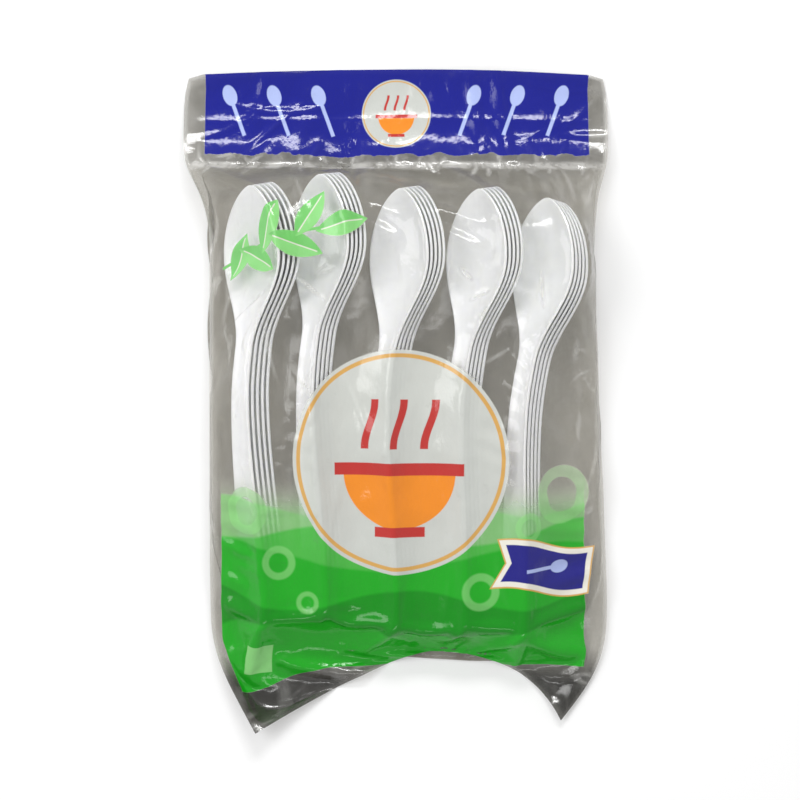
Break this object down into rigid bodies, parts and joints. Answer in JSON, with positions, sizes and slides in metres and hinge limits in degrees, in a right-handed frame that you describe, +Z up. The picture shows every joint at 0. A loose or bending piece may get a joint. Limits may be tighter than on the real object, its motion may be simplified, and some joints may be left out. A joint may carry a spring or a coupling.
{
  "type": "plastic spoon pack",
  "caption": "Sealed clear film bag of white disposable plastic spoons lying on its back, with a printed header above the seal and loose film corners at the foot.",
  "frame": {"origin": "On the surface the pack lies on, under the middle of its box", "axes": "+Z up out of the printed face, +Y towards the header, +X to the right of the printed face"},
  "size_m": [0.1532, 0.24, 0.0306],
  "materials": {
    "bag_film": "clear printed film, glossy and creased",
    "spoon_plastic": "white moulded polystyrene, glossy"
  },
  "bodies": {
    "root": {"bag_film": "bag_film", "spoon_a1": "spoon_plastic", "spoon_a2": "spoon_plastic", "spoon_a3": "spoon_plastic", "spoon_a4": "spoon_plastic", "spoon_a5": "spoon_plastic", "spoon_b1": "spoon_plastic", "spoon_b2": "spoon_plastic", "spoon_b3": "spoon_plastic", "spoon_b4": "spoon_plastic", "spoon_b5": "spoon_plastic", "spoon_c1": "spoon_plastic", "spoon_c2": "spoon_plastic", "spoon_c3": "spoon_plastic", "spoon_c4": "spoon_plastic", "spoon_c5": "spoon_plastic", "spoon_d1": "spoon_plastic", "spoon_d2": "spoon_plastic", "spoon_d3": "spoon_plastic", "spoon_d4": "spoon_plastic", "spoon_d5": "spoon_plastic", "spoon_e1": "spoon_plastic", "spoon_e2": "spoon_plastic", "spoon_e3": "spoon_plastic", "spoon_e4": "spoon_plastic", "spoon_e5": "spoon_plastic"}
  },
  "joints": []
}
